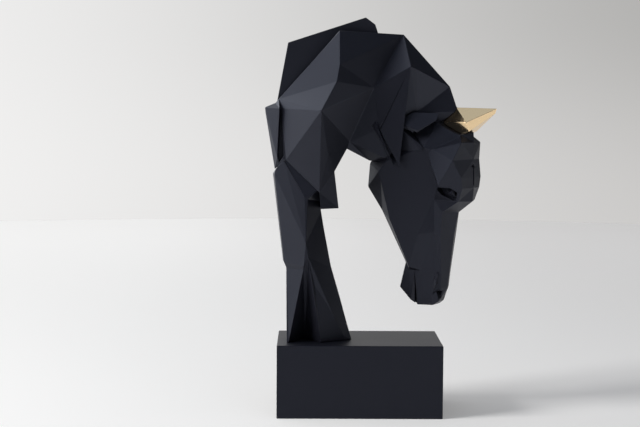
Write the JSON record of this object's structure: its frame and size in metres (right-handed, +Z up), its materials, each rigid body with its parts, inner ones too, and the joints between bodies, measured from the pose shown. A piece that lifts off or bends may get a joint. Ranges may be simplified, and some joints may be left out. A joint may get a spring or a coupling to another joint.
{
  "type": "geometric horse sculpture",
  "caption": "Faceted black horse bust on one leg-like column, with a gold forehead horn, on a rectangular block.",
  "frame": {"origin": "centre of the block's underside, where it rests", "axes": "+Z up, +X along the block's length towards the horse's head, +Y away from the side with the head turned to it"},
  "size_m": [0.2288, 0.1089, 0.3983],
  "materials": {
    "plinth": "satin black",
    "horse": "satin black",
    "horn": "polished gold plating"
  },
  "bodies": {
    "root": {"plinth": "plinth", "horse": "horse", "horn": "horn"}
  },
  "joints": []
}
